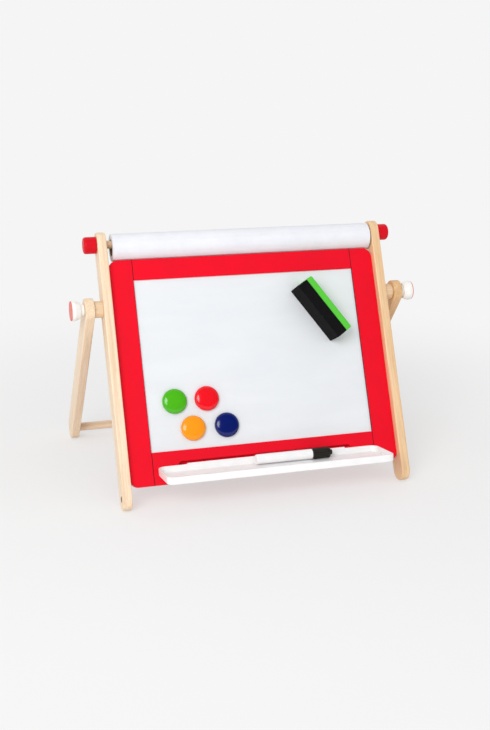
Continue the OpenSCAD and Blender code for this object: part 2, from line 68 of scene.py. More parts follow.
LEG_EASE = 1.2 * MM
BAR_EASE = 0.8 * MM
SEAM_EASE = 0.55 * MM
# The width of the painted shade along the seams between the rails and the stiles
SEAM_SHADE_WIDTH = 0.55 * MM
HOLE_EASE = 0.3 * MM
DOWEL_EASE = 0.6 * MM
CORNER_R = 12 * MM
PANEL_LAP = 4.65 * MM
PANEL_GROOVE = 3.15 * MM
GROOVE_PLAY = 0.15 * MM
SLOT_LEN = 218 * MM
SLOT_H = 8 * MM
SLOT_TOP = 25.8 * MM
SLOT_DEPTH = 7 * MM
DOWEL_R = 2.5 * MM
RAIL_DOWEL_REACH = 9.05 * MM
LEG_DOWEL_IN_FRAME = 12.05 * MM
LEG_DOWEL_IN_LEG = 8.05 * MM
CROSSBAR_SEAT = 7.05 * MM

# The knobs and the rod's caps

COLLAR_R = 7.2 * MM
COLLAR_LEN = 4.6 * MM
COLLAR_ROUND = 0.8 * MM
COLLAR_STEP = 0.5 * MM
BELL_R = 9.4 * MM
BELL_BAND = 4 * MM
BELL_FOOT = 0.9 * MM
BELL_SHOULDER = 3 * MM
BELL_RIM = 0.25 * MM
STUD_SEAT = 11.5 * MM
DISC_PROUD = 1.3 * MM
DISC_ROUND = 0.6 * MM
DISC_SEAT_RIM = 0.05 * MM
CAP_SEAT = 9.5 * MM
CAP_MOUTH = 0.5 * MM
CAP_ROUND = 3 * MM

# The paper roll

CORE_WALL = 1.2 * MM
PAPER_LAYERS = 10
LAYER_STEP = 0.02 * MM
LAYER_STRAY = 0.4 * MM
STRAY_SEED = 7
LOOSE_EDGE_AT = math.radians(232)
LOOSE_STEP = 0.25 * MM
ROLL_STEPS = 180

# The tray and the tongue that holds it

TRAY_FRONT_R = 8.7 * MM
TRAY_REAR_R = 10.4 * MM
TRAY_WALL = 2 * MM
TRAY_FLOOR = 2 * MM
TRAY_FOOT_ROUND = 1.6 * MM
TRAY_RIM_ROUND = 0.6 * MM
TRAY_WELL_FILLET = 1.2 * MM
TONGUE_EASE = 0.6 * MM

# The magnets and the eraser

MAGNET_RIM = 2.2 * MM
MAGNET_FOOT = 0.4 * MM
MAGNET_FOOT_CUT = 0.12 * MM
DOME_ROUND = 0.86
DOME_STEPS = 32
ERASER_SLOPE = math.radians(56.4)
FELT_ROUND = 1.2 * MM
FELT_GRID = 2 * MM
FELT_SWAY = 0.3 * MM
FELT_SWAY_SCALE = 4 * MM
GRIP_ROUND = 2.4 * MM
GRIP_BACK_ROUND = 1.6 * MM
GRIP_JOINT_ROUND = 0.4 * MM

# The marker

BARREL_ROUND = 0.6 * MM
SHOULDER_ROUND = 0.4 * MM
NECK_R = 4.1 * MM
NECK_LEN = 6 * MM
NECK_FOOT = 0.2 * MM
NECK_ROUND = 0.5 * MM
HOLDER_R = 2.6 * MM
HOLDER_LEN = 6 * MM
HOLDER_ROUND = 0.3 * MM
NIB_ROOM = 0.6 * MM
WICK_R = 3.6 * MM
NIB_R = 1.65 * MM
CAP_BODY_R = 6.2 * MM
CAP_BORE_RIM = 0.2 * MM
CAP_LIP = 1 * MM
CAP_LIP_ROUND = 0.3 * MM
CAP_END_ROUND = 0.7 * MM
CAP_RIBS = 18
CAP_STEPS = 8 * CAP_RIBS
RIB_RISE = 0.4 * MM
RIB_RUN = 0.5 * MM
NECK_BORE = 6.6 * MM
CAP_BORE = 16.6 * MM
NUB_R = 3.2 * MM
NUB_LEN = 3 * MM
NUB_FOOT = 0.3 * MM
NUB_ROUND = 0.6 * MM

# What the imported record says

JOINTS = {joint["name"]: joint for joint in frame["joints"]}
FOOT_HOLE = frame["record"]["mounts"][0]["dims"]
BODY_OF = {}
for body, members in frame["record"]["behaviour"]["bodies"].items():
    for member in members:
        BODY_OF[member] = body

# Places: each gives the axes that a group of pieces is measured along


def turned_about_x(up_axis):
    """A turn about X that brings +Z onto the given direction."""
    return Matrix.Rotation(math.atan2(-up_axis[1], up_axis[2]), 4, "X")


def spots(node, place):
    """A CAD node's points, measured along a place's own axes."""
    back = place.inverted()
    return [back @ vertex.co for vertex in frame["nodes"][node].data.vertices]


def box_of(points):
    """The lowest and highest corner of some points."""
    low = Vector([min(point[axis] for point in points) for axis in range(3)])
    high = Vector([max(point[axis] for point in points) for axis in range(3)])
    return low, high


def local_box(node, place):
    """The lowest and highest corner of a CAD node, along a place's own axes."""
    return box_of(spots(node, place))


def shaft(node, place):
    """Both ends along X, the centre and the radius of a round CAD node."""
    low, high = local_box(node, place)
    return low.x, high.x, (low + high) / 2, (high.z - low.z) / 2


def along(node, place, side=1):
    """Stands what rises along Z on a round CAD node's inner end, so that it runs out along X."""
    start, end, middle, _ = shaft(node, place)
    foot = Matrix.Translation((start if side > 0 else end, middle.y, middle.z))
    return place @ foot @ Matrix.Rotation(side * math.radians(90), 4, "Y")


def board_place():
    """X across, Y into the board, Z up its face, from the frame's lower front edge."""
    out = JOINTS["tray_pull"]["axis"]
    turn = turned_about_x((0, out[2], -out[1]))
    low, _ = local_box("bottom_rail", turn)
    return turn @ Matrix.Translation((0, low.y, low.z))


def stand_place():
    """The fold's pivot is at zero, and the rear legs run down along -Z."""
    pivot = Vector(JOINTS["stand_fold"]["pos_m"])
    low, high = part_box("rear_crossbar")
    return Matrix.Translation(pivot) @ turned_about_x(pivot - (low + high) / 2)


def tray_place(board):
    """X across, Y back, Z up out of the tray, from the middle of its rear rim."""
    turn = turned_about_x(JOINTS["marker_lift"]["axis"])
    points = spots("tray", turn)
    low, high = box_of(points)
    middle = (low.y + high.y) / 2
    rim = max(point.z for point in points if point.y < middle)
    to_tray = turn.inverted() @ board
    foot = to_tray @ Vector((0, -FACE_GAP, 0))
    rise = to_tray @ Vector((0, -FACE_GAP, 1)) - foot
    rear = foot + rise * ((rim - foot.z) / rise.z)
    return turn @ Matrix.Translation((0, rear.y, rim))


BOARD = board_place()
STAND = stand_place()
TRAY = tray_place(BOARD)
STUD_R = shaft("left_stud", BOARD)[3]
STAND_OFF = Matrix.Rotation(math.radians(90), 4, "X")

# The two ways that an outline's u, v and depth w lie in a place's X, Y and Z
ACROSS = Matrix(((0, 0, 1, 0), (1, 0, 0, 0), (0, 1, 0, 0), (0, 0, 0, 1)))
FACING = Matrix(((1, 0, 0, 0), (0, 0, 1, 0), (0, 1, 0, 0), (0, 0, 0, 1)))


# Outlines


def rounded(corners):
    """The outline round corners of (u, v, radius), with an arc wherever there is a radius."""
    outline = []
    for here, (u, v, radius) in enumerate(corners):
        corner = Vector((u, v))
        if radius == 0:
            outline.append(corner)
            continue
        to_last = (Vector(corners[here - 1][:2]) - corner).normalized()
        to_next = (Vector(corners[(here + 1) % len(corners)][:2]) - corner).normalized()
        half = to_last.angle(to_next) / 2
        middle = corner + (to_last + to_next).normalized() * radius / math.sin(half)
        first = corner + to_last * radius / math.tan(half) - middle
        turn = math.pi - 2 * half
        if to_last.cross(to_next) > 0:
            turn = -turn
        steps = max(3, round(abs(turn) / ARC_STEP))
        for step in range(steps + 1):
            outline.append(middle + Matrix.Rotation(turn * step / steps, 2) @ first)
    kept = [point for here, point in enumerate(outline) if (point - outline[here - 1]).length > NEAR]
    return [(point.x, point.y) for point in kept]


def rectangle(low_u, low_v, high_u, high_v, radius=0):
    return rounded([(low_u, low_v, radius), (high_u, low_v, radius),
                    (high_u, high_v, radius), (low_u, high_v, radius)])


def round_shape(u, v, radius, steps=48):
    """A circle that can be grown, for the rings of a hole."""
    def shape(grow):
        turns = [FULL_TURN * step / steps for step in range(steps)]
        return [(u + (radius + grow) * math.cos(turn), v + (radius + grow) * math.sin(turn))
                for turn in turns]
    return shape


def box_shape(low_u, low_v, high_u, high_v, radius=0):
    """A rectangle with round corners that can be grown, for the rings of a hole."""
    def shape(grow):
        return rectangle(low_u - grow, low_v - grow, high_u + grow, high_v + grow,
                         radius + grow if radius else 0)
    return shape


# Forms


def ease(form, edges, width, steps=3):
    bmesh.ops.bevel(form, geom=list(edges), offset=width, offset_type="OFFSET", segments=steps,
                    profile=0.5, affect="EDGES", clamp_overlap=True, material=-1)


def sharp_edges(form):
    """The edges where two faces meet almost at a right angle."""
    return [edge for edge in form.edges
            if len(edge.link_faces) == 2 and edge.calc_face_angle(0) > math.radians(80)]


def on_line(edge, axis, value, reach=NEAR):
    """Whether both ends of an edge lie within reach of a value along an axis."""
    return all(abs(vertex.co[axis] - value) < reach for vertex in edge.verts)


def ease_level(form, level, width, steps):
    """Eases the edges that lie at one depth w."""
    ease(form, [edge for edge in form.edges if on_line(edge, 2, level)], width, steps)


def bar(outline, low, high, rim=0, steps=3):
    """An outline in u and v drawn out along w, with its two rims eased."""
    form = bmesh.new()
    face = form.faces.new([form.verts.new((u, v, low)) for u, v in outline])
    drawn = bmesh.ops.extrude_face_region(form, geom=[face], use_keep_orig=True)
    moved = [item for item in drawn["geom"] if isinstance(item, bmesh.types.BMVert)]
    bmesh.ops.translate(form, vec=(0, 0, high - low), verts=moved)
    bmesh.ops.recalc_face_normals(form, faces=form.faces)
    if rim:
        ends = [edge for edge in form.edges if abs(edge.verts[0].co.z - edge.verts[1].co.z) < NEAR]
        ease(form, ends, rim, steps)
    return form


def block(low, high):
    """A box between two corners."""
    form = bmesh.new()
    bmesh.ops.create_cube(form, size=1)
    bmesh.ops.scale(form, vec=Vector(high) - Vector(low), verts=form.verts)
    bmesh.ops.translate(form, vec=(Vector(high) + Vector(low)) / 2, verts=form.verts)
    return form


def loop(form, points):
    """A closed ring of edges through points."""
    corners = [form.verts.new(point) for point in points]
    return [form.edges.new(pair) for pair in zip(corners, corners[1:] + corners[:1])]


def wall(form, loops):
    """Skins a row of rings that have as many points each."""
    for above, below in zip(loops, loops[1:]):
        bmesh.ops.bridge_loops(form, edges=above + below)


def rings(depth, rim=0, fillet=0, steps=4):
    """How far a hole's rings are grown, and how deep they lie, for a hole with a closed end."""
    made = [(rim, 0), (0, rim)] if rim else [(0, 0)]
    for step in range(steps + 1 if fillet else 1):
        turn = math.radians(90) * step / steps
        made.append((-fillet * (1 - math.cos(turn)), depth - fillet * (1 - math.sin(turn))))
    return made


def refill(form, lay, depth, loops):
    """Fills the flat face at a depth again, round the loops of its holes."""
    back = lay.inverted()
    flat = [face for face in form.faces
            if all(abs((back @ vertex.co).z - depth) < NEAR for vertex in face.verts)]
    face = max(flat, key=lambda each: each.calc_area())
    border = list(face.edges)
    bmesh.ops.delete(form, geom=[face], context="FACES_ONLY")
    bmesh.ops.triangle_fill(form, use_beauty=True, use_dissolve=False, edges=border + loops)


def hole_wall(form, lay, shape, levels):
    """Skins a hole from its rings, and gives their loops of edges."""
    made = [loop(form, [lay @ Vector((u, v, depth)) for u, v in shape(grow)]) for grow, depth in levels]
    wall(form, made)
    return made


def sink(form, lay, near=(), far=(), through=(), thick=0):
    """Cuts holes into the flat face at lay's zero depth, into the one at depth thick, or
    right through both. A hole is its shape and its rings."""
    near_loops, far_loops = [], []
    for shape, levels in near:
        made = hole_wall(form, lay, shape, levels)
        bmesh.ops.edgeloop_fill(form, edges=made[-1])
        near_loops += made[0]
    for shape, levels in far:
        made = hole_wall(form, lay, shape, [(grow, thick - depth) for grow, depth in levels])
        bmesh.ops.edgeloop_fill(form, edges=made[-1])
        far_loops += made[0]
    for shape, rim in through:
        made = hole_wall(form, lay, shape, [(rim, 0), (0, rim), (0, thick - rim), (rim, thick)])
        near_loops += made[0]
        far_loops += made[-1]
    if near_loops:
        refill(form, lay, 0, near_loops)
    if far_loops:
        refill(form, lay, thick, far_loops)


def lathe(profile, steps=TURNED_STEPS):
    """Turns a profile of (radius, height) points round Z."""
    form = bmesh.new()
    points = [form.verts.new((radius, 0, height)) for radius, height in profile]
    edges = [form.edges.new(pair) for pair in zip(points, points[1:])]
    bmesh.ops.spin(form, geom=points + edges, axis=(0, 0, 1), cent=(0, 0, 0), dvec=(0, 0, 0),
                   angle=FULL_TURN, steps=steps, use_merge=True, use_duplicate=False)
    bmesh.ops.remove_doubles(form, verts=form.verts, dist=NEAR)
    bmesh.ops.recalc_face_normals(form, faces=form.faces)
    return form


def ring_profile(corners):
    """A closed profile, for turning, that begins and ends at the same point."""
    outline = rounded(corners)
    return outline + outline[:1]


def add_form(form, other):
    """Adds another form's faces to a form."""
    spare = bpy.data.meshes.new("spare")
    other.to_mesh(spare)
    other.free()
    form.from_mesh(spare)
    bpy.data.meshes.remove(spare)


def add_piece(name, form, place, finish, *nodes, inside=None):
    """Makes a finished piece that stands for CAD nodes and moves with their body."""
    bmesh.ops.transform(form, matrix=place, verts=form.verts)
    bmesh.ops.recalc_face_normals(form, faces=form.faces)
    mesh = bpy.data.meshes.new(name)
    form.to_mesh(mesh)
    form.free()
    mesh.shade_smooth()
    mesh.set_sharp_from_angle(angle=math.radians(40))
    mesh.materials.append(finish)
    if inside:
        mesh.materials.append(inside)
    piece = bpy.data.objects.new(name, mesh)
    bpy.context.scene.collection.objects.link(piece)
    even = piece.modifiers.new("even shading", "WEIGHTED_NORMAL")
    even.keep_sharp = True
    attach(piece, BODY_OF[nodes[0]])
    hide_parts(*nodes)
    return piece


def dress(finish, *nodes):
    """Gives CAD nodes that keep their own shape their finish."""
    for node in nodes:
        frame["nodes"][node].data.materials.clear()
        frame["nodes"][node].data.materials.append(finish)


# Finishes


def tone(red, green, blue):
    """A screen colour of 0 to 255 as the linear colour that a shader takes."""
    return tuple(part / 255 / 12.92 if part <= 10 else ((part / 255 + 0.055) / 1.055) ** 2.4
                 for part in (red, green, blue))


def finish_of(name, colour, rough, **settings):
    """A new material, its tree and its shader. A setting's name is its socket's, in small letters."""
    made = bpy.data.materials.new(name)
    made.use_nodes = True
    shader = made.node_tree.nodes["Principled BSDF"]
    shader.inputs["Base Color"].default_value = (*colour, 1)
    shader.inputs["Roughness"].default_value = rough
    for setting, value in settings.items():
        shader.inputs[setting.replace("_", " ").title().replace("Ior", "IOR")].default_value = value
    return made, made.node_tree, shader


def measured(tree, place, stretch=(1, 1, 1)):
    """Object coordinates along a place's own axes, then stretched."""
    source = tree.nodes.new("ShaderNodeTexCoord")
    turn = tree.nodes.new("ShaderNodeMapping")
    back = place.inverted()
    turn.inputs["Location"].default_value = back.to_translation()
    turn.inputs["Rotation"].default_value = back.to_euler()
    tree.links.new(source.outputs["Object"], turn.inputs["Vector"])
    scale = tree.nodes.new("ShaderNodeMapping")
    scale.inputs["Scale"].default_value = stretch
    tree.links.new(turn.outputs["Vector"], scale.inputs["Vector"])
    return scale.outputs["Vector"]


def noise(tree, vector, scale, detail=3, rough=0.55, distort=0.0):
    made = tree.nodes.new("ShaderNodeTexNoise")
    made.inputs["Scale"].default_value = scale
    made.inputs["Detail"].default_value = detail
    made.inputs["Roughness"].default_value = rough
    made.inputs["Distortion"].default_value = distort
    tree.links.new(vector, made.inputs["Vector"])
    return made.outputs["Fac"]


def ramp(tree, value, *stops):
    """Colours along a value. A stop is its place and its colour."""
    made = tree.nodes.new("ShaderNodeValToRGB")
    while len(made.color_ramp.elements) < len(stops):
        made.color_ramp.elements.new(0.5)
    for element, (place, colour) in zip(made.color_ramp.elements, stops):
        element.position = place
        element.color = (*colour, 1)
    tree.links.new(value, made.inputs["Fac"])
    return made.outputs["Color"]


def between(tree, value, low, high, from_low=0.3, from_high=0.7, blend="LINEAR"):
    """A value spread over a new range."""
    made = tree.nodes.new("ShaderNodeMapRange")
    made.interpolation_type = blend
    made.inputs["From Min"].default_value = from_low
    made.inputs["From Max"].default_value = from_high
    made.inputs["To Min"].default_value = low
    made.inputs["To Max"].default_value = high
    tree.links.new(value, made.inputs["Value"])
    return made.outputs["Result"]


def arithmetic(tree, operation, first, second=None):
    """A sum or another operation on one or two values, each a socket or a number."""
    made = tree.nodes.new("ShaderNodeMath")
    made.operation = operation
    for socket, value in zip(made.inputs, (first, second)):
        if isinstance(value, (int, float)):
            socket.default_value = value
        elif value is not None:
            tree.links.new(value, socket)
    return made.outputs["Value"]


def blend_colours(tree, first, second, share, mode="MIX"):
    made = tree.nodes.new("ShaderNodeMix")
    made.data_type = "RGBA"
    made.blend_type = mode
    if isinstance(share, float):
        made.inputs[0].default_value = share
    else:
        tree.links.new(share, made.inputs[0])
    for socket, colour in ((made.inputs[6], first), (made.inputs[7], second)):
        if isinstance(colour, tuple):
            socket.default_value = (*colour, 1)
        else:
            tree.links.new(colour, socket)
    return made.outputs[2]


def raise_by(tree, shader, height, distance, strength=1.0):
    """Gives the shader a bump, on top of the one it has."""
    made = tree.nodes.new("ShaderNodeBump")
    made.inputs["Distance"].default_value = distance
    made.inputs["Strength"].default_value = strength
    if shader.inputs["Normal"].links:
        tree.links.new(shader.inputs["Normal"].links[0].from_socket, made.inputs["Normal"])
    tree.links.new(height, made.inputs["Height"])
    tree.links.new(made.outputs["Normal"], shader.inputs["Normal"])


ALONG_X = Matrix.Rotation(math.radians(90), 4, "Y")
FRAME_RED = tone(239, 6, 37)
# A dark red that paints shade into the seams between the rails and the stiles
SEAM_SHADE_COLOUR = tone(92, 4, 14)


def wood(name, place, light, dark):
    """Pale planed wood under a thin lacquer, with its grain along the place's Z."""
    made, tree, shader = finish_of(name, light, 0.42, coat_weight=0.12, coat_roughness=0.3)
    figure = noise(tree, measured(tree, place, (1, 1, 0.05)), 150, 4, 0.6, 0.6)
    streaks = noise(tree, measured(tree, place, (1, 1, 0.03)), 620, 3, 0.6)
    pores = noise(tree, measured(tree, place, (1, 1, 0.06)), 2600, 2, 0.5)
    colour = ramp(tree, figure, (0.34, light), (0.66, dark))
    streak_tint = ramp(tree, streaks, (0.36, tone(255, 251, 246)), (0.68, tone(240, 228, 214)))
    colour = blend_colours(tree, colour, streak_tint, 0.8, "MULTIPLY")
    pore_tint = ramp(tree, pores, (0.56, tone(255, 255, 255)), (0.74, tone(232, 216, 196)))
    colour = blend_colours(tree, colour, pore_tint, 0.6, "MULTIPLY")
    tree.links.new(colour, shader.inputs["Base Color"])
    tree.links.new(between(tree, streaks, 0.36, 0.52), shader.inputs["Roughness"])
    raise_by(tree, shader, streaks, 0.05 * MM, 0.5)
    raise_by(tree, shader, pores, 0.03 * MM, 0.6)
    return made


def paint(name, place, colour, seam_at=None):
    """Satin paint over smooth wood: the grain just shows, and the film lies a little uneven. Where seam_at is
    given, a dark line of painted shade runs along the seams between the rails and the stiles.
    """
    made, tree, shader = finish_of(name, colour, 0.4, specular_ior_level=0.16)
    grain = noise(tree, measured(tree, place, (1, 1, 0.04)), 900, 3, 0.6)
    film = noise(tree, measured(tree, place), 420, 2, 0.5)
    cloud = noise(tree, measured(tree, place), 26, 3, 0.5)
    deep = tuple(part * 0.92 for part in colour)
    tint = ramp(tree, cloud, (0.35, colour), (0.7, deep))
    # Paints shade along the seams between the rails and the stiles
    if seam_at:
        tint = blend_colours(tree, SEAM_SHADE_COLOUR, tint, painted_seam_shade(tree, seam_at))
    tree.links.new(tint, shader.inputs["Base Color"])
    tree.links.new(between(tree, cloud, 0.34, 0.46), shader.inputs["Roughness"])
    raise_by(tree, shader, grain, 0.04 * MM, 0.5)
    raise_by(tree, shader, film, 0.05 * MM, 0.5)
    return made


def painted_seam_shade(tree, seam_at):
    """Zero in the seams between the rails and the stiles, where the painted shade is full, and one a little beside
    them.
    """
    parts = tree.nodes.new("ShaderNodeSeparateXYZ")
    tree.links.new(measured(tree, BOARD), parts.inputs["Vector"])
    off_middle = arithmetic(tree, "ABSOLUTE", parts.outputs["X"])
    off_seam = arithmetic(tree, "ABSOLUTE", arithmetic(tree, "SUBTRACT", off_middle, seam_at))
    return between(tree, off_seam, 0, 1, SEAM_SHADE_WIDTH / 2, SEAM_SHADE_WIDTH)


def plastic(name, colour, rough=0.25, grained=0.02, place=Matrix(), mirror=0.5):
    """Moulded plastic with a faint mould texture and a little unevenness in its gloss."""
    made, tree, shader = finish_of(name, colour, rough, specular_ior_level=mirror)
    mould = noise(tree, measured(tree, place), 1500, 2, 0.5)
    cloud = noise(tree, measured(tree, place), 60, 3, 0.5)
    dim = tuple(part * 0.95 for part in colour)
    tree.links.new(ramp(tree, cloud, (0.35, colour), (0.7, dim)), shader.inputs["Base Color"])
    tree.links.new(between(tree, cloud, rough * 0.85, rough * 1.2), shader.inputs["Roughness"])
    raise_by(tree, shader, mould, grained * MM, 0.5)
    return made


def metal(name, colour, rough):
    made, tree, shader = finish_of(name, colour, rough, metallic=1)
    scratch = noise(tree, measured(tree, ALONG_X, (1, 1, 0.1)), 900, 3, 0.6)
    tree.links.new(between(tree, scratch, rough * 0.8, rough * 1.3), shader.inputs["Roughness"])
    raise_by(tree, shader, scratch, 0.02 * MM, 0.5)
    return made


def enamel():
    """The steel sheet's white writing enamel: glossy, almost flat, with faint wiped streaks."""
    made, tree, shader = finish_of("writing enamel", tone(233, 236, 239), 0.16,
                                   specular_ior_level=0.5, coat_weight=0.3, coat_roughness=0.08)
    wiped = noise(tree, measured(tree, BOARD, (0.25, 1, 1)), 28, 4, 0.6, 0.4)
    sway = noise(tree, measured(tree, BOARD), 9, 2, 0.4)
    colour = ramp(tree, wiped, (0.36, tone(234, 237, 240)), (0.68, tone(229, 232, 236)))
    tree.links.new(colour, shader.inputs["Base Color"])
    tree.links.new(between(tree, wiped, 0.13, 0.24), shader.inputs["Roughness"])
    raise_by(tree, shader, sway, 0.3 * MM, 0.35)
    return made


def chalk_coat():
    """The back's dark writing coat, a fine matt grit with old chalk dust wiped over it."""
    made, tree, shader = finish_of("dark writing coat", tone(45, 52, 50), 0.75)
    dust = noise(tree, measured(tree, BOARD, (0.35, 1, 1)), 24, 5, 0.62, 0.8)
    grit = noise(tree, measured(tree, BOARD), 2400, 2, 0.6)
    colour = ramp(tree, dust, (0.4, tone(42, 49, 47)), (0.72, tone(66, 74, 71)))
    tree.links.new(colour, shader.inputs["Base Color"])
    tree.links.new(between(tree, dust, 0.68, 0.86), shader.inputs["Roughness"])
    raise_by(tree, shader, grit, 0.06 * MM, 0.8)
    return made


def paper_white():
    """Uncoated drawing paper, a little mottled, with fine fibres."""
    made, tree, shader = finish_of("drawing paper", tone(236, 237, 243), 0.7)
    mottle = noise(tree, measured(tree, BOARD), 55, 4, 0.6)
    fibre = noise(tree, measured(tree, BOARD, (0.4, 1, 1)), 1900, 3, 0.6)
    colour = ramp(tree, mottle, (0.35, tone(237, 238, 243)), (0.7, tone(231, 232, 238)))
    tree.links.new(colour, shader.inputs["Base Color"])
    raise_by(tree, shader, fibre, 0.03 * MM, 0.6)
    return made


def kraft_card():
    """Brown core card, with its coarse fibres along the roll."""
    made, tree, shader = finish_of("core card", tone(150, 116, 82), 0.85)
    fibre = noise(tree, measured(tree, BOARD, (0.3, 1, 1)), 900, 4, 0.65)
    colour = ramp(tree, fibre, (0.32, tone(163, 128, 92)), (0.7, tone(126, 95, 66)))
    tree.links.new(colour, shader.inputs["Base Color"])
    raise_by(tree, shader, fibre, 0.08 * MM, 0.7)
    return made


def black_felt():
    """Dense black felt: matt, fuzzy at the edges, with lighter stray fibres."""
    made, tree, shader = finish_of("black felt", tone(22, 22, 23), 0.95, sheen_weight=0.05,
                                   sheen_roughness=0.6, specular_ior_level=0.05)
    shader.inputs["Sheen Tint"].default_value = (0.35, 0.35, 0.36, 1)
    fibre = noise(tree, measured(tree, ERASER), 1700, 4, 0.7, 1.5)
    wisp = noise(tree, measured(tree, ERASER), 420, 4, 0.65, 2.5)
    colour = ramp(tree, wisp, (0.4, tone(13, 13, 14)), (0.72, tone(28, 28, 30)))
    tree.links.new(colour, shader.inputs["Base Color"])
    raise_by(tree, shader, wisp, 0.12 * MM, 0.7)
    raise_by(tree, shader, fibre, 0.1 * MM, 0.9)
    return made


def ferrite():
    made, tree, shader = finish_of("ferrite", tone(58, 57, 58), 0.5, metallic=0.4)
    grit = noise(tree, measured(tree, BOARD), 1600, 3, 0.6)
    tree.links.new(ramp(tree, grit, (0.35, tone(50, 49, 50)), (0.7, tone(72, 70, 70))),
                   shader.inputs["Base Color"])
    raise_by(tree, shader, grit, 0.04 * MM, 0.6)
    return made


# The wooden pieces

# The right legs take darker copies of the wood: the right front leg's is darker and warmer, and the right rear
# leg's is painted shade for its place in shadow
LEFT_WOOD = tone(251, 233, 208), tone(240, 216, 186)
RIGHT_WOOD = tone(250, 221, 183), tone(235, 197, 152)
PAINTED_SHADE_WOOD = tone(236, 200, 154), tone(216, 174, 124)


def named(side, piece):
    return ("left_" if side < 0 else "right_") + piece


def leg_form(low, high):
    """A leg with round ends and eased edges, in u along its depth, v up and w across."""
    radius = (high.y - low.y) / 2
    return bar(rectangle(low.y, low.z, high.y, high.z, radius), low.x, high.x, LEG_EASE, 4)


def from_outside(low, high, side):
    """Lays u and v as a leg has them, and the depth inwards from the leg's outer face."""
    outer = high.x if side > 0 else low.x
    return Matrix(((1, 0, 0, 0), (0, 1, 0, 0), (0, 0, -side, outer), (0, 0, 0, 1)))


def front_leg(side, finish, bored):
    """A front leg, with its foot hole and the holes for the insert, the dowels and the rod. The foot hole's walls
    take the bored finish, a dark wood that paints the shade inside the hole.
    """
    node = named(side, "front_leg")
    low, high = local_box(node, BOARD)
    form = leg_form(low, high)
    _, _, rod_at, rod_r = shaft("rod", BOARD)
    insert_low, insert_high, insert_at, insert_r = shaft(named(side, "insert_nut"), BOARD)
    axis = (low.y + high.y) / 2
    foot_at = Vector((axis, low.z + (high.y - low.y) / 2))
    foot_r = FOOT_HOLE["r_mm"] * MM
    foot = (round_shape(*foot_at, foot_r), rings(FOOT_HOLE["length_mm"] * MM, HOLE_EASE))
    insert = (round_shape(insert_at.y, insert_at.z, insert_r + GLUE_GAP),
              rings(insert_high - insert_low + GLUE_GAP))
    dowels = [(round_shape(axis, up, DOWEL_R + GLUE_GAP), rings(LEG_DOWEL_IN_LEG)) for up in leg_dowels_up()]
    rod_hole = (round_shape(rod_at.y, rod_at.z, rod_r + RUN_FIT), HOLE_EASE)
    sink(form, from_outside(low, high, side), [foot, insert], dowels, [rod_hole], high.x - low.x)
    # The foot hole's walls take the dark second finish, as painted shade inside the hole
    for face in form.faces:
        if (face.calc_center_median().xy - foot_at).length < foot_r + NEAR:
            face.material_index = 1
    add_piece(node + "_wood", form, BOARD @ ACROSS, finish, node, inside=bored)


def rear_leg(side, finish):
    node = named(side, "rear_leg")
    low, high = local_box(node, STAND)
    form = leg_form(low, high)
    _, _, bar_at, bar_r = shaft("rear_crossbar", STAND)
    stud_hole = (round_shape(0, 0, STUD_R + RUN_FIT), HOLE_EASE)
    seat = (round_shape(bar_at.y, bar_at.z, bar_r + GLUE_GAP), rings(CROSSBAR_SEAT))
    sink(form, from_outside(low, high, side), [], [seat], [stud_hole], high.x - low.x)
    add_piece(node + "_wood", form, STAND @ ACROSS, finish, node)


def dowel(node, place, finish):
    """A round rod with eased ends."""
    start, end, _, radius = shaft(node, place)
    length = end - start
    form = lathe(rounded([(0, 0, 0), (radius, 0, DOWEL_EASE), (radius, length, DOWEL_EASE), (0, length, 0)]))
    add_piece(node + "_wood", form, along(node, place), finish, node)


def spacer(side, finish):
    node = named(side, "spacer")
    start, end, _, radius = shaft(node, BOARD)
    length = end - start
    bore = STUD_R + RUN_FIT
    form = lathe(ring_profile([(bore, 0, HOLE_EASE), (radius, 0, DOWEL_EASE),
                               (radius, length, DOWEL_EASE), (bore, length, HOLE_EASE)]))
    add_piece(node + "_wood", form, along(node, BOARD), finish, node)


# The red frame


def leg_dowels_up():
    """How far up the board the dowels between the frame and a leg lie."""
    low, high = local_box("leg_dowels", BOARD)
    return low.z + DOWEL_R, high.z - DOWEL_R


def rail_dowels_up():
    """How far up the board the four dowels of each stile's joints lie."""
    heights = sorted(point.z for point in spots("frame_dowels", BOARD))
    groups = [[heights[0]]]
    for height in heights[1:]:
        if height - groups[-1][0] > 2 * DOWEL_R + NEAR:
            groups.append([])
        groups[-1].append(height)
    return [(group[0] + group[-1]) / 2 for group in groups]


def stile(side, finish):
    """An upright bar: round outer corners, a groove for the board, and holes for the dowels."""
    node = named(side, "stile")
    low, high = local_box(node, BOARD)
    inner, outer = (low.x, high.x) if side > 0 else (high.x, low.x)
    form = bar(rounded([(outer, low.z, CORNER_R), (outer, high.z, CORNER_R), (inner, high.z, 0),
                        (inner, low.z, 0)]), low.y, high.y)
    ease(form, [edge for edge in form.edges if on_line(edge, 0, inner)], SEAM_EASE, 2)
    ease(form, [edge for edge in sharp_edges(form) if not on_line(edge, 0, inner, SEAM_EASE + NEAR)],
         BAR_EASE)
    sheet_low, sheet_high = local_box("whiteboard_sheet", BOARD)
    groove = (box_shape(sheet_low.z - GROOVE_PLAY, sheet_low.y, sheet_high.z + GROOVE_PLAY,
                        sheet_low.y + PANEL_GROOVE), rings(PANEL_LAP))
    middle = (low.y + high.y) / 2
    holes = [(round_shape(up, middle, DOWEL_R + GLUE_GAP), rings(RAIL_DOWEL_REACH))
             for up in rail_dowels_up()]
    sink(form, from_side(inner, side), [groove] + holes)
    leg_holes = [(round_shape(up, middle, DOWEL_R + GLUE_GAP), rings(LEG_DOWEL_IN_FRAME))
                 for up in leg_dowels_up()]
    sink(form, from_side(outer, -side), leg_holes)
    add_piece(node + "_paint", form, BOARD @ FACING, finish, node)


def from_side(start, way):
    """Lays u up the board and v into it, and the depth sideways from a bar's side."""
    return Matrix(((0, 0, way, start), (1, 0, 0, 0), (0, 1, 0, 0), (0, 0, 0, 1)))


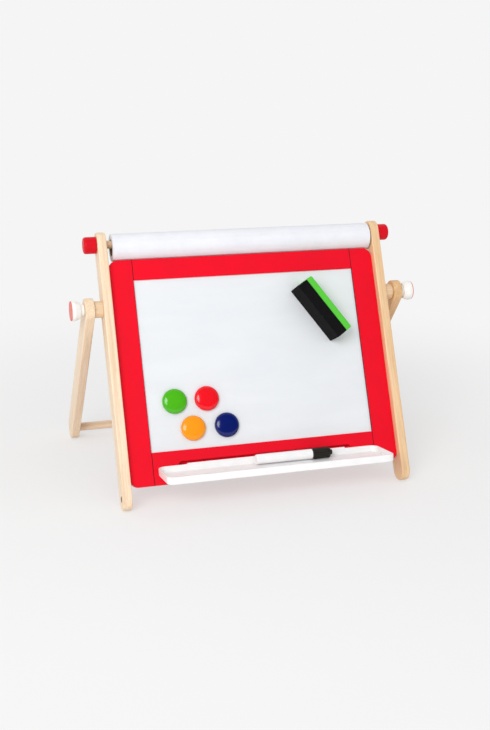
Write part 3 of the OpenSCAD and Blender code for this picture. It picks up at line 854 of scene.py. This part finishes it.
def rail_section(low, high, groove_up):
    """A rail seen from its end, in u into the board and v up it: eased outside, with its groove."""
    sheet_low, _ = local_box("whiteboard_sheet", BOARD)
    front = sheet_low.y
    back = front + PANEL_GROOVE
    plain, edge, bottom = low.z, high.z, high.z - PANEL_LAP
    if not groove_up:
        plain, edge, bottom = high.z, low.z, low.z + PANEL_LAP
    return rounded([(low.y, plain, BAR_EASE), (high.y, plain, BAR_EASE), (high.y, edge, BAR_EASE),
                    (back, edge, 0), (back, bottom, 0), (front, bottom, 0), (front, edge, 0),
                    (low.y, edge, BAR_EASE)])


def rail(node, finish, groove_up, slot=None):
    """A level bar, which butts between the stiles on its dowels."""
    low, high = local_box(node, BOARD)
    form = bar(rail_section(low, high, groove_up), low.x, high.x, SEAM_EASE, 2)
    middle = (low.y + high.y) / 2
    holes = [(round_shape(middle, up, DOWEL_R + GLUE_GAP), rings(RAIL_DOWEL_REACH))
             for up in rail_dowels_up() if low.z < up < high.z]
    across = Matrix(((1, 0, 0, 0), (0, 1, 0, 0), (0, 0, 1, low.x), (0, 0, 0, 1)))
    sink(form, across, holes, holes, (), high.x - low.x)
    if slot:
        inwards = Matrix(((0, 0, 1, low.y), (1, 0, 0, 0), (0, 1, 0, 0), (0, 0, 0, 1)))
        sink(form, inwards, [(slot, rings(SLOT_DEPTH, HOLE_EASE))])
    add_piece(node + "_paint", form, BOARD @ ACROSS, finish, node)


# The clamp knobs and the rod's caps


def knob(side, shell, disc_finish):
    """A collar and a bell, with a red disc let into the bell's end."""
    node = named(side, "knob")
    disc_node = node + "_disc"
    start, end, _, radius = shaft(node, BOARD)
    disc_low, disc_high, _, disc_r = shaft(disc_node, BOARD)
    length = end - start
    disc_t = disc_high - disc_low
    seat = length - disc_t + DISC_PROUD
    bore = STUD_R + GLUE_GAP
    form = lathe(rounded([
        (0, STUD_SEAT, 0), (bore, STUD_SEAT, 0), (bore, 0, 0), (COLLAR_R, 0, COLLAR_ROUND),
        (COLLAR_R, COLLAR_LEN, COLLAR_STEP), (BELL_R, COLLAR_LEN, BELL_FOOT),
        (radius, length - BELL_BAND, BELL_SHOULDER), (radius, length, BELL_RIM),
        (disc_r + GLUE_GAP, length, DISC_SEAT_RIM), (disc_r + GLUE_GAP, seat, 0), (0, seat, 0)]))
    add_piece(node + "_shell", form, along(node, BOARD, side), shell, node)
    form = lathe(rounded([(0, 0, 0), (disc_r, 0, 0), (disc_r, disc_t, DISC_ROUND), (0, disc_t, 0)]))
    add_piece(disc_node + "_cover", form, along(disc_node, BOARD, side), disc_finish, disc_node)


def rod_cap(side, finish):
    node = named(side, "rod_cap")
    start, end, _, radius = shaft(node, BOARD)
    _, _, _, rod_r = shaft("rod", BOARD)
    length = end - start
    bore = rod_r + RUN_FIT
    form = lathe(rounded([
        (0, CAP_SEAT, 0), (bore, CAP_SEAT, 0), (bore, 0, HOLE_EASE), (radius, 0, CAP_MOUTH),
        (radius, length, CAP_ROUND), (0, length, 0)]))
    add_piece(node + "_paint", form, along(node, BOARD, side), finish, node)


# The paper roll


def paper_roll(finish):
    """A wound roll: uneven layers at both ends, and a step where the outer sheet's edge lies."""
    start, end, _, radius = shaft("paper_roll", Matrix())
    _, _, _, core_r = shaft("roll_core", Matrix())
    draw = random.Random(STRAY_SEED)
    layer = (radius - core_r - LOOSE_STEP) / PAPER_LAYERS
    near, far = [], []
    for turn in range(PAPER_LAYERS):
        inner = core_r + NEAR + turn * layer
        for end_points in (near, far):
            inset = draw.uniform(0, LAYER_STRAY)
            end_points.extend([(inner + LAYER_STEP, inset), (inner + layer, inset)])
    length = end - start
    rim = radius - LOOSE_STEP / 2
    form = lathe(near + [(rim, near[-1][1]), (radius, LOOSE_STEP), (radius, length - LOOSE_STEP),
                         (rim, length - far[-1][1])]
                 + [(size, length - inset) for size, inset in far[::-1]] + near[:1], ROLL_STEPS)
    for vertex in form.verts:
        if vertex.co.xy.length > rim - NEAR:
            share = (math.atan2(vertex.co.y, vertex.co.x) - LOOSE_EDGE_AT) % FULL_TURN / FULL_TURN
            vertex.co.xy *= 1 - LOOSE_STEP * share / radius
    add_piece("paper_roll_sheet", form, along("paper_roll", Matrix()), finish, "paper_roll")


def roll_core(finish):
    """The card core, a tube with eased rims."""
    start, end, _, radius = shaft("roll_core", Matrix())
    inner = radius - CORE_WALL
    length = end - start
    form = lathe(ring_profile([(inner, 0, HOLE_EASE), (radius, 0, HOLE_EASE), (radius, length, HOLE_EASE),
                               (inner, length, HOLE_EASE)]))
    add_piece("roll_core_card", form, along("roll_core", Matrix()), finish, "roll_core")


# The tray


def tray(finish):
    """A shallow tray whose rear wall is parallel to the board, with its tongue behind."""
    points = spots("tray", TRAY)
    low, high = box_of([point for point in points if point.z < NEAR])
    rear = max(point.y for point in points if abs(point.z) < NEAR)
    height = -low.z
    slope = math.tan(BOARD.to_euler().x - TRAY.to_euler().x)
    form = bar(tray_plan(low, high, rear)(0), -height, 0)
    ease_level(form, -height, TRAY_FOOT_ROUND, 5)
    ease_level(form, 0, TRAY_RIM_ROUND, 3)
    top = Matrix(((1, 0, 0, 0), (0, 1, 0, 0), (0, 0, -1, 0), (0, 0, 0, 1)))
    well = rings(height - TRAY_FLOOR, TRAY_RIM_ROUND, TRAY_WELL_FILLET, 5)
    sink(form, top, [(tray_plan(low, high, rear), [(grow - TRAY_WALL, depth) for grow, depth in well])])
    for vertex in form.verts:
        if vertex.co.y > low.y / 2:
            vertex.co.y -= vertex.co.z * slope
    bmesh.ops.transform(form, matrix=TRAY, verts=form.verts)
    add_form(form, tongue())
    add_piece("tray_shell", form, Matrix(), finish, "tray")


def tray_plan(low, high, rear):
    """The tray's plan, which can be grown or drawn in."""
    def shape(grow):
        front_r, rear_r = TRAY_FRONT_R + grow, TRAY_REAR_R + grow
        return rounded([(low.x - grow, low.y - grow, front_r), (high.x + grow, low.y - grow, front_r),
                        (high.x + grow, rear + grow, rear_r), (low.x - grow, rear + grow, rear_r)])
    return shape


def tongue():
    """The flat tongue behind the tray, which lies in the slot and starts inside the rear wall."""
    low, high = box_of([point for point in spots("tray", BOARD) if point.y > 0])
    start = -FACE_GAP - TRAY_WALL / 2
    form = bar(rectangle(low.x, low.z, high.x, high.z, TONGUE_EASE), start, high.y)
    ease_level(form, high.y, TONGUE_EASE / 2, 2)
    bmesh.ops.transform(form, matrix=BOARD @ FACING, verts=form.verts)
    return form


# The magnets

MAGNET_TONES = {"green": tone(76, 182, 22), "red": tone(240, 14, 30), "orange": tone(255, 156, 20),
                "blue": tone(2, 22, 104)}


def magnet(hue, finish):
    """A glossy cap whose dome rolls over into a short upright rim."""
    node = hue + "_magnet_cap"
    low, high = local_box(node, BOARD)
    disc_low, disc_high = local_box(hue + "_magnet_disc", BOARD)
    middle = (low + high) / 2
    radius = (high.x - low.x) / 2
    height = high.y - low.y
    seat_r = (disc_high.x - disc_low.x) / 2 + GLUE_GAP
    seat = disc_high.y - disc_low.y + GLUE_GAP
    rise = height - MAGNET_RIM
    turns = [math.radians(90) * step / DOME_STEPS for step in range(DOME_STEPS, -1, -1)]
    dome = [(radius * math.sin(turn) ** DOME_ROUND, MAGNET_RIM + rise * math.cos(turn) ** DOME_ROUND)
            for turn in turns]
    form = lathe([(0, seat), (seat_r, seat), (seat_r, 0), (radius - MAGNET_FOOT, 0),
                  (radius - MAGNET_FOOT_CUT, MAGNET_FOOT_CUT), (radius, MAGNET_FOOT)] + dome)
    add_piece(node + "_gloss", form, BOARD @ Matrix.Translation((middle.x, high.y, middle.z)) @ STAND_OFF,
              finish, node)


# The eraser

ERASER = BOARD @ STAND_OFF @ Matrix.Rotation(-ERASER_SLOPE, 4, "Z")


def felt_block(finish):
    """The felt block: soft corners, a slightly uneven skin, and a seat for the magnet strip."""
    low, high = local_box("eraser_felt", ERASER)
    strip_low, strip_high = local_box("eraser_magnet", ERASER)
    form = block(low, high)
    ease(form, list(form.edges), FELT_ROUND, 4)
    under = Matrix.Translation((0, 0, low.z))
    strip = box_shape(strip_low.x - GLUE_GAP, strip_low.y - GLUE_GAP,
                      strip_high.x + GLUE_GAP, strip_high.y + GLUE_GAP)
    sink(form, under, [(strip, rings(strip_high.z - strip_low.z + GLUE_GAP))])
    seat_top = strip_high.z + FELT_GRID
    for axis in range(3):
        level = max(low[axis], seat_top if axis == 2 else low[axis]) + FELT_GRID
        while level < high[axis] - FELT_GRID:
            across = Vector([1 if each == axis else 0 for each in range(3)])
            bmesh.ops.bisect_plane(form, geom=list(form.verts) + list(form.edges) + list(form.faces),
                                   dist=NEAR, plane_co=across * level, plane_no=across)
            level += FELT_GRID
    middle = (low + high) / 2
    for vertex in form.verts:
        if vertex.co.z > seat_top - NEAR:
            sway = wave.noise(vertex.co / FELT_SWAY_SCALE) - 1
            vertex.co += (vertex.co - middle).normalized() * sway * FELT_SWAY / 2
    add_piece("eraser_felt_block", form, ERASER, finish, "eraser_felt")


def eraser_grip(finish):
    """The plastic grip: round at its back, and just eased where it meets the felt."""
    low, high = local_box("eraser_grip", ERASER)
    form = bar(rectangle(low.x, low.z, high.x, high.z, GRIP_ROUND), low.y, high.y)
    ease_level(form, high.y, GRIP_BACK_ROUND, 5)
    ease_level(form, low.y, GRIP_JOINT_ROUND, 2)
    add_piece("eraser_grip_shell", form, ERASER @ FACING, finish, "eraser_grip")


# The marker


def marker_barrel(finish):
    """The barrel, with the neck and the nib's holder that the cap covers."""
    start, end, _, radius = shaft("marker_barrel", TRAY)
    length = end - start
    neck = length - NECK_LEN - HOLDER_LEN
    form = lathe(ring_profile([
        (WICK_R, 0, 0), (radius, 0, BARREL_ROUND), (radius, neck, SHOULDER_ROUND),
        (NECK_R, neck, NECK_FOOT), (NECK_R, neck + NECK_LEN, NECK_ROUND),
        (HOLDER_R, neck + NECK_LEN, HOLDER_ROUND), (HOLDER_R, length, HOLDER_ROUND),
        (NIB_R, length, 0), (NIB_R, neck, 0), (WICK_R, neck, 0)]))
    add_piece("marker_barrel_shell", form, along("marker_barrel", TRAY), finish, "marker_barrel")


def marker_cap(finish):
    """The cap: grip ribs along it, a plain lip at each end of them and a small end."""
    start, end, _, _ = shaft("marker_cap", TRAY)
    length = end - start - NUB_LEN
    bore = NECK_R + RUN_FIT
    deep = HOLDER_R + NIB_ROOM
    ribs_from, ribs_to = CAP_LIP + RIB_RUN, length - CAP_LIP - RIB_RUN
    form = lathe(rounded([
        (0, CAP_BORE, 0), (deep, CAP_BORE, 0), (deep, NECK_BORE, 0), (bore, NECK_BORE, 0),
        (bore, 0, CAP_BORE_RIM), (CAP_BODY_R, 0, CAP_LIP_ROUND), (CAP_BODY_R, CAP_LIP, 0),
        (CAP_BODY_R, ribs_from, 0), (CAP_BODY_R, ribs_to, 0), (CAP_BODY_R, length - CAP_LIP, 0),
        (CAP_BODY_R, length, CAP_END_ROUND), (NUB_R, length, NUB_FOOT),
        (NUB_R, length + NUB_LEN, NUB_ROUND), (0, length + NUB_LEN, 0)]), CAP_STEPS)
    for vertex in form.verts:
        if vertex.co.xy.length > CAP_BODY_R - NEAR and ribs_from - NEAR < vertex.co.z < ribs_to + NEAR:
            rib = max(0, math.cos(CAP_RIBS * math.atan2(vertex.co.y, vertex.co.x)))
            vertex.co.xy *= 1 + RIB_RISE * rib / CAP_BODY_R
    add_piece("marker_cap_shell", form, along("marker_cap", TRAY), finish, "marker_cap")


# Everything on the easel

leg_woods = {-1: wood("left leg wood", BOARD, *LEFT_WOOD), 1: wood("right leg wood", BOARD, *RIGHT_WOOD)}
# The right rear leg's darker wood is painted shade
stand_woods = {-1: wood("left stand wood", STAND, *LEFT_WOOD),
               1: wood("right stand wood", STAND, *PAINTED_SHADE_WOOD)}
# A dark wood for the foot hole's walls: painted shade inside the hole
foot_hole_shade_wood = wood("foot hole painted shade", BOARD @ ALONG_X, tone(112, 82, 56), tone(84, 60, 40))
rod_wood = wood("dowel wood", BOARD @ ALONG_X, tone(240, 217, 186), tone(226, 198, 163))
# Where the seams lie, for the painted seam shade in the red paint
seam_x = local_box("right_stile", BOARD)[0].x
red_up = paint("red paint up the board", BOARD, FRAME_RED, seam_x)
red_across = paint("red paint across the board", BOARD @ ALONG_X, FRAME_RED, seam_x)
red_turned = paint("red cap paint", BOARD @ ALONG_X, tone(219, 6, 31))
knob_white = plastic("white knob plastic", tone(246, 245, 242), 0.3)
disc_red = plastic("red disc plastic", tone(228, 118, 104), 0.45)
tray_white = plastic("white tray plastic", tone(248, 248, 248), 0.22, 0.02, TRAY)
marker_white = plastic("white marker plastic", tone(249, 249, 249), 0.2, 0.01, TRAY)
marker_black = plastic("black cap plastic", tone(34, 31, 25), 0.4, 0.04, TRAY, 0.3)
grip_green = plastic("green grip plastic", tone(88, 204, 58), 0.45, 0.05, ERASER, 0.3)
felt_black = black_felt()

for side in (-1, 1):
    front_leg(side, leg_woods[side], foot_hole_shade_wood)
    rear_leg(side, stand_woods[side])
    spacer(side, rod_wood)
    stile(side, red_up)
    knob(side, knob_white, disc_red)
    rod_cap(side, red_turned)
dowel("rear_crossbar", STAND, wood("crossbar wood", STAND @ ALONG_X, *LEFT_WOOD))
dowel("rod", BOARD, rod_wood)
rail("top_rail", red_across, False)
rail("bottom_rail", red_across, True,
     box_shape(SLOT_TOP - SLOT_H, -SLOT_LEN / 2, SLOT_TOP, SLOT_LEN / 2, SLOT_H / 2))
paper_roll(paper_white())
roll_core(kraft_card())
tray(tray_white)
for hue, shade in MAGNET_TONES.items():
    magnet(hue, plastic(hue + " magnet plastic", shade, 0.16))
felt_block(felt_black)
eraser_grip(grip_green)
marker_barrel(marker_white)
marker_cap(marker_black)

dress(enamel(), "whiteboard_sheet")
dress(chalk_coat(), "backing_panel")
dress(rod_wood, "frame_dowels", "leg_dowels")
dress(metal("insert brass", tone(206, 168, 92), 0.3), "left_insert_nut", "right_insert_nut")
dress(metal("stud steel", tone(188, 188, 190), 0.28), "left_stud", "right_stud")
dress(ferrite(), "green_magnet_disc", "red_magnet_disc", "orange_magnet_disc", "blue_magnet_disc",
      "eraser_magnet")
dress(marker_white, "marker_plug")
dress(marker_black, "marker_nib")

# The camera, the floor and the light

CAMERA_FROM_BOARD = Vector((-400.9, -1212.4, 528.3)) * MM
CAMERA_YAW = math.radians(16.952)
CAMERA_PITCH = math.radians(17.024)
CAMERA_ROLL = math.radians(0.578)
CAMERA_LENS = 56.02
CAMERA_SENSOR = 36
BACKDROP_TONE = 0.913
STUDIO_TONE = 0.05
AMBIENT = 0.74

# Where gloss sees the dark studio give way to the backdrop: to the back, and to the left
BEHIND_FROM, BEHIND_TO = -0.35, 0.15
ASIDE_FROM, ASIDE_TO = -0.9, -0.72

FLOOR_R = 6
FLOOR_SHADE = 0.88
FLOOR_GLOW = 0.5
GLOW_FROM, GLOW_TO = 0.3, 0.9
LAMP_AT, LAMP_AIM = (-1.25, -1.75, 1.3), (0, 0, 0.15)
LAMP_SIZE = 1.2
LAMP_POWER = 26


def add_camera():
    forward = Vector((math.sin(CAMERA_YAW) * math.cos(CAMERA_PITCH),
                      math.cos(CAMERA_YAW) * math.cos(CAMERA_PITCH), -math.sin(CAMERA_PITCH)))
    level = Vector((math.cos(CAMERA_YAW), -math.sin(CAMERA_YAW), 0))
    upright = level.cross(forward)
    right = math.cos(CAMERA_ROLL) * level + math.sin(CAMERA_ROLL) * upright
    up = math.cos(CAMERA_ROLL) * upright - math.sin(CAMERA_ROLL) * level
    data = bpy.data.cameras.new("camera")
    data.lens = CAMERA_LENS
    data.sensor_width = CAMERA_SENSOR
    data.clip_start = 0.01
    camera = bpy.data.objects.new("camera", data)
    turn = Matrix((right, up, -forward)).transposed().to_4x4()
    camera.matrix_world = Matrix.Translation(BOARD.to_translation() + CAMERA_FROM_BOARD) @ turn
    bpy.context.scene.collection.objects.link(camera)
    bpy.context.scene.camera = camera


def add_lamp(name, at, size, power, aim):
    data = bpy.data.lights.new(name, "AREA")
    data.shape = "DISK"
    data.size = size
    data.energy = power
    lamp = bpy.data.objects.new(name, data)
    lamp.location = at
    lamp.rotation_euler = (Vector(aim) - Vector(at)).to_track_quat("-Z", "Y").to_euler()
    bpy.context.scene.collection.objects.link(lamp)


def unlit_share(tree):
    """One where a ray comes from the camera, from gloss or through glass, or else zero."""
    path = tree.nodes.new("ShaderNodeLightPath")
    seen = arithmetic(tree, "MAXIMUM", path.outputs["Is Camera Ray"], path.outputs["Is Glossy Ray"])
    return arithmetic(tree, "MAXIMUM", seen, path.outputs["Is Transmission Ray"])


def add_world():
    """Soft light from all round. The camera sees the pale backdrop, and gloss sees it behind the
    easel and far to the left, with the dark studio in front and to the right."""
    world = bpy.data.worlds.new("studio")
    bpy.context.scene.world = world
    world.use_nodes = True
    tree = world.node_tree
    light = tree.nodes["Background"]
    light.inputs["Color"].default_value = (1, 1, 1, 1)
    light.inputs["Strength"].default_value = AMBIENT
    seen = tree.nodes.new("ShaderNodeBackground")
    seen.inputs["Strength"].default_value = 1
    way = tree.nodes.new("ShaderNodeTexCoord")
    parts = tree.nodes.new("ShaderNodeSeparateXYZ")
    tree.links.new(way.outputs["Object"], parts.inputs["Vector"])
    behind = between(tree, parts.outputs["Y"], STUDIO_TONE, BACKDROP_TONE, BEHIND_FROM, BEHIND_TO)
    aside = between(tree, parts.outputs["X"], BACKDROP_TONE, STUDIO_TONE, ASIDE_FROM, ASIDE_TO)
    path = tree.nodes.new("ShaderNodeLightPath")
    round_about = arithmetic(tree, "MAXIMUM", behind, aside)
    to_camera = arithmetic(tree, "MULTIPLY", path.outputs["Is Camera Ray"], BACKDROP_TONE)
    tree.links.new(arithmetic(tree, "MAXIMUM", round_about, to_camera), seen.inputs["Color"])
    mix = tree.nodes.new("ShaderNodeMixShader")
    tree.links.new(unlit_share(tree), mix.inputs["Fac"])
    tree.links.new(light.outputs["Background"], mix.inputs[1])
    tree.links.new(seen.outputs["Background"], mix.inputs[2])
    tree.links.new(mix.outputs["Shader"], tree.nodes["World Output"].inputs["Surface"])


def add_floor():
    """A pale floor that takes the easel's shadow. To the camera, to gloss and to glass it glows
    a little, like the backdrop, and fades into it further out."""
    mesh = bpy.data.meshes.new("floor")
    form = bmesh.new()
    bmesh.ops.create_circle(form, cap_ends=True, segments=TURNED_STEPS, radius=FLOOR_R)
    form.to_mesh(mesh)
    form.free()
    floor = bpy.data.objects.new("floor", mesh)
    bpy.context.scene.collection.objects.link(floor)
    made = bpy.data.materials.new("pale floor")
    made.use_nodes = True
    tree = made.node_tree
    tree.nodes.clear()
    out = tree.nodes.new("ShaderNodeOutputMaterial")
    mix = tree.nodes.new("ShaderNodeMixShader")
    ground = tree.nodes.new("ShaderNodeBsdfDiffuse")
    ground.inputs["Color"].default_value = (FLOOR_SHADE, FLOOR_SHADE, FLOOR_SHADE, 1)
    glow = tree.nodes.new("ShaderNodeEmission")
    glow.inputs["Color"].default_value = (BACKDROP_TONE, BACKDROP_TONE, BACKDROP_TONE, 1)
    coords = tree.nodes.new("ShaderNodeTexCoord")
    length = tree.nodes.new("ShaderNodeVectorMath")
    length.operation = "LENGTH"
    tree.links.new(coords.outputs["Object"], length.inputs[0])
    fade = between(tree, length.outputs["Value"], FLOOR_GLOW, 1, GLOW_FROM, GLOW_TO, "SMOOTHSTEP")
    tree.links.new(arithmetic(tree, "MULTIPLY", fade, unlit_share(tree)), mix.inputs["Fac"])
    tree.links.new(ground.outputs["BSDF"], mix.inputs[1])
    tree.links.new(glow.outputs["Emission"], mix.inputs[2])
    tree.links.new(mix.outputs["Shader"], out.inputs["Surface"])
    mesh.materials.append(made)


add_camera()
add_world()
add_floor()
add_lamp("key", LAMP_AT, LAMP_SIZE, LAMP_POWER, LAMP_AIM)
bpy.context.scene.view_settings.view_transform = "Standard"
